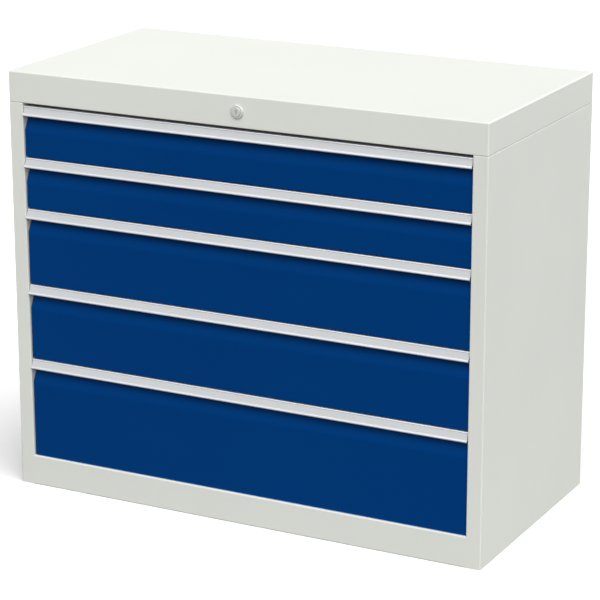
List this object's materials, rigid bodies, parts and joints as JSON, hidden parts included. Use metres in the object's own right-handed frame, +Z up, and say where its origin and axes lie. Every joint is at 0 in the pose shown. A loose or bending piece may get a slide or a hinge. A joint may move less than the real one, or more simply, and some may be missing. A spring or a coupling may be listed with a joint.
{
  "type": "drawer unit",
  "caption": "Low steel drawer cabinet with a deep cap, full-width aluminium handle strips, telescopic slides and a central lock.",
  "frame": {"origin": "on the floor, at the middle of the cabinet's overall width and depth", "axes": "+X to the viewer's right along the front, +Y from the front to the back, +Z up"},
  "size_m": [1, 0.5062, 0.84],
  "materials": {
    "frame_paint": "satin",
    "front_paint": "satin",
    "tray_paint": "satin",
    "handle_aluminium": "anodised",
    "label_plastic": "matte",
    "plated_steel": "zinc plated",
    "lock_metal": "satin"
  },
  "bodies": {
    "cabinet": {"right_side_panel": "frame_paint", "left_side_panel": "frame_paint", "base_pan": "frame_paint", "back_panel": "frame_paint", "top_cap": "frame_paint", "back_rivets": "plated_steel", "cap_screws": "plated_steel", "bar_guides": "plated_steel", "lock_housing": "lock_metal", "lock_nut": "plated_steel", "rod_bearing": "plated_steel", "front_post_right": "plated_steel", "front_post_left": "plated_steel", "rear_post_right": "plated_steel", "rear_post_left": "plated_steel", "drawer_1_outer_rails": "plated_steel", "drawer_2_outer_rails": "plated_steel", "drawer_3_outer_rails": "plated_steel", "drawer_4_outer_rails": "plated_steel", "drawer_5_outer_rails": "plated_steel"},
    "drawer_1": {"drawer_1_front": "front_paint", "drawer_1_handle": "handle_aluminium", "drawer_1_label_strip": "label_plastic", "drawer_1_tray": "tray_paint", "drawer_1_catch": "plated_steel", "drawer_1_inner_rails": "plated_steel"},
    "drawer_1_runners": {"drawer_1_middle_rails": "plated_steel"},
    "drawer_2": {"drawer_2_front": "front_paint", "drawer_2_handle": "handle_aluminium", "drawer_2_label_strip": "label_plastic", "drawer_2_tray": "tray_paint", "drawer_2_catch": "plated_steel", "drawer_2_inner_rails": "plated_steel"},
    "drawer_2_runners": {"drawer_2_middle_rails": "plated_steel"},
    "drawer_3": {"drawer_3_front": "front_paint", "drawer_3_handle": "handle_aluminium", "drawer_3_label_strip": "label_plastic", "drawer_3_tray": "tray_paint", "drawer_3_catch": "plated_steel", "drawer_3_inner_rails": "plated_steel"},
    "drawer_3_runners": {"drawer_3_middle_rails": "plated_steel"},
    "drawer_4": {"drawer_4_front": "front_paint", "drawer_4_handle": "handle_aluminium", "drawer_4_label_strip": "label_plastic", "drawer_4_tray": "tray_paint", "drawer_4_catch": "plated_steel", "drawer_4_inner_rails": "plated_steel"},
    "drawer_4_runners": {"drawer_4_middle_rails": "plated_steel"},
    "drawer_5": {"drawer_5_front": "front_paint", "drawer_5_handle": "handle_aluminium", "drawer_5_label_strip": "label_plastic", "drawer_5_tray": "tray_paint", "drawer_5_catch": "plated_steel", "drawer_5_inner_rails": "plated_steel"},
    "drawer_5_runners": {"drawer_5_middle_rails": "plated_steel"},
    "lock": {"lock_plug": "lock_metal", "lock_rod": "plated_steel", "lock_crank": "plated_steel"},
    "bar": {"locking_bar": "plated_steel", "bar_hooks": "plated_steel"}
  },
  "joints": [
    {"name": "drawer_1_slide", "type": "slide", "parent": "cabinet", "child": "drawer_1", "axis": [0, -1, 0], "range_m": [0, 0.43]},
    {"name": "drawer_1_runner_slide", "type": "slide", "parent": "cabinet", "child": "drawer_1_runners", "axis": [0, -1, 0], "range_m": [0, 0.215]},
    {"name": "drawer_2_slide", "type": "slide", "parent": "cabinet", "child": "drawer_2", "axis": [0, -1, 0], "range_m": [0, 0.43]},
    {"name": "drawer_2_runner_slide", "type": "slide", "parent": "cabinet", "child": "drawer_2_runners", "axis": [0, -1, 0], "range_m": [0, 0.215]},
    {"name": "drawer_3_slide", "type": "slide", "parent": "cabinet", "child": "drawer_3", "axis": [0, -1, 0], "range_m": [0, 0.43]},
    {"name": "drawer_3_runner_slide", "type": "slide", "parent": "cabinet", "child": "drawer_3_runners", "axis": [0, -1, 0], "range_m": [0, 0.215]},
    {"name": "drawer_4_slide", "type": "slide", "parent": "cabinet", "child": "drawer_4", "axis": [0, -1, 0], "range_m": [0, 0.43]},
    {"name": "drawer_4_runner_slide", "type": "slide", "parent": "cabinet", "child": "drawer_4_runners", "axis": [0, -1, 0], "range_m": [0, 0.215]},
    {"name": "drawer_5_slide", "type": "slide", "parent": "cabinet", "child": "drawer_5", "axis": [0, -1, 0], "range_m": [0, 0.43]},
    {"name": "drawer_5_runner_slide", "type": "slide", "parent": "cabinet", "child": "drawer_5_runners", "axis": [0, -1, 0], "range_m": [0, 0.215]},
    {"name": "lock_turn", "type": "hinge", "parent": "cabinet", "child": "lock", "pos_m": [0, -0.2481, 0.8095], "axis": [0, 1, 0], "range_deg": [0, 90]},
    {"name": "bar_lift", "type": "slide", "parent": "cabinet", "child": "bar", "axis": [0, 0, 1], "range_m": [0, 0.012]}
  ],
  "couplings": [
    {"joint": "drawer_1_runner_slide", "follows": "drawer_1_slide", "ratio": 0.5},
    {"joint": "drawer_2_runner_slide", "follows": "drawer_2_slide", "ratio": 0.5},
    {"joint": "drawer_3_runner_slide", "follows": "drawer_3_slide", "ratio": 0.5},
    {"joint": "drawer_4_runner_slide", "follows": "drawer_4_slide", "ratio": 0.5},
    {"joint": "drawer_5_runner_slide", "follows": "drawer_5_slide", "ratio": 0.5},
    {"joint": "lock_turn", "follows": "bar_lift", "rad_per_m": 130.89}
  ]
}
